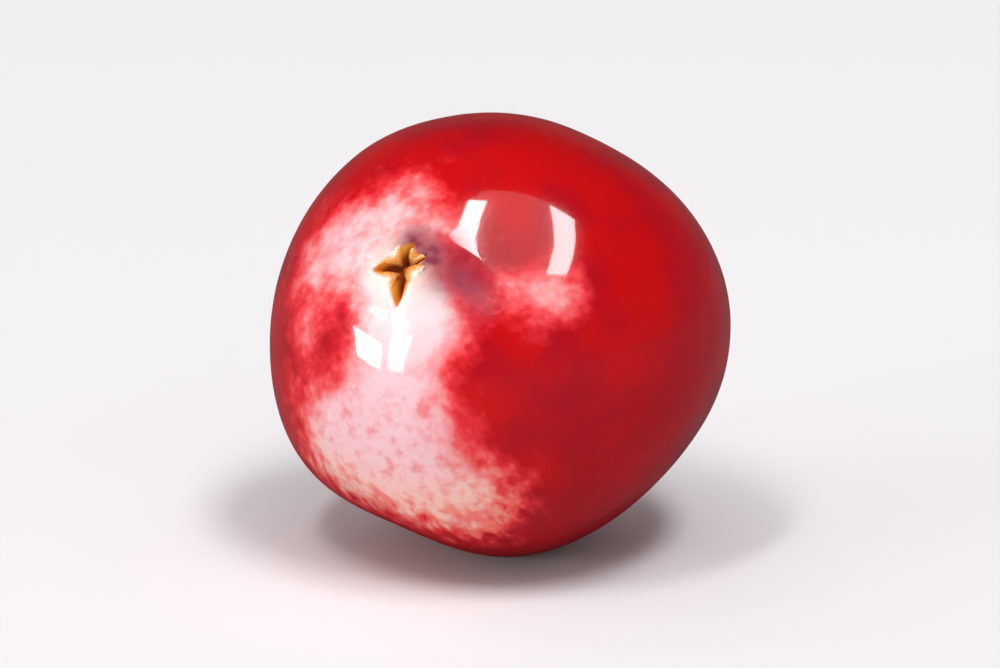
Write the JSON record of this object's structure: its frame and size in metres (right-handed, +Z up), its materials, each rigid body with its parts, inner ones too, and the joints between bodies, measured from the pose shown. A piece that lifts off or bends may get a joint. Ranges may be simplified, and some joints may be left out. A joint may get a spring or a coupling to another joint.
{
  "type": "fresh cranberry",
  "caption": "Whole ripe cranberry, nearly round and slightly uneven, with a star-shaped blossom end and a small stalk scar, lying on a flat spot.",
  "frame": {"origin": "on the floor, under the middle of the berry's box as it lies", "axes": "+Z up from the rest spot, +X to the right and +Y away from the viewer as the picture shows the berry; the blossom end points up, to the left and towards the viewer"},
  "size_m": [0.02, 0.0194, 0.0191],
  "materials": {
    "skin": "wet, taut, glossy red skin, paler and mottled round the blossom end"
  },
  "bodies": {
    "root": {"cranberry": "skin"}
  },
  "joints": []
}
